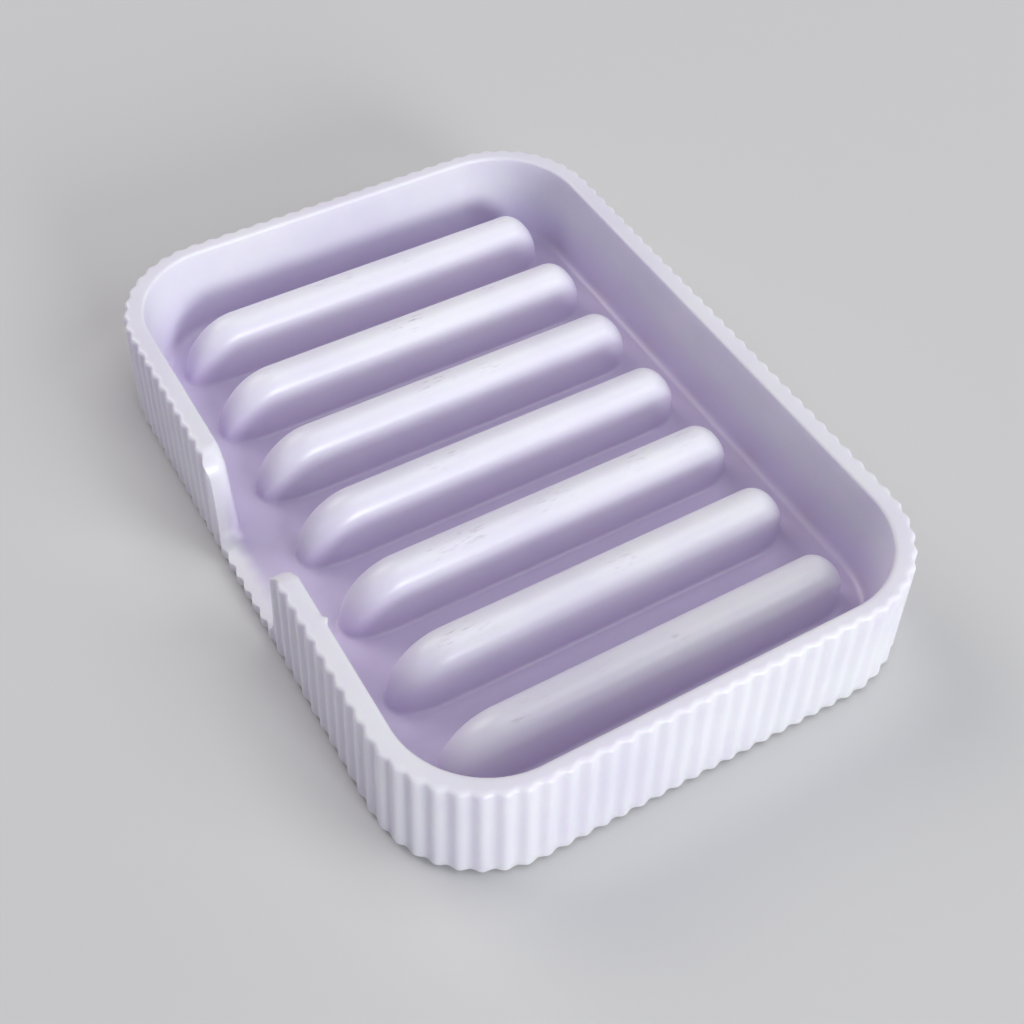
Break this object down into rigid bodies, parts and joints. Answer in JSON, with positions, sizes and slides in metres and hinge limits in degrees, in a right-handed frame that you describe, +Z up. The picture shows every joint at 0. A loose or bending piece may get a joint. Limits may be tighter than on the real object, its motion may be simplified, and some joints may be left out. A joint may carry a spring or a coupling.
{
  "type": "soap dish",
  "caption": "Rectangular cast soap dish with a reeded outside wall, rounded draining ribs across the tray, a spout notch in one long wall and stick-on pads under the base.",
  "frame": {"origin": "middle of the footprint, on the table plane that the pads stand on", "axes": "+X across the dish with the spout notch on -X, +Y along its long side, +Z up"},
  "size_m": [0.0908, 0.125, 0.0204],
  "materials": {
    "cast_lilac": "pale lilac cast mineral resin, satin sealed",
    "pad_rubber": "milky soft polyurethane, satin"
  },
  "bodies": {
    "root": {"cast_dish": "cast_lilac", "pad_front_left": "pad_rubber", "pad_front_right": "pad_rubber", "pad_rear_left": "pad_rubber", "pad_rear_right": "pad_rubber"}
  },
  "joints": []
}
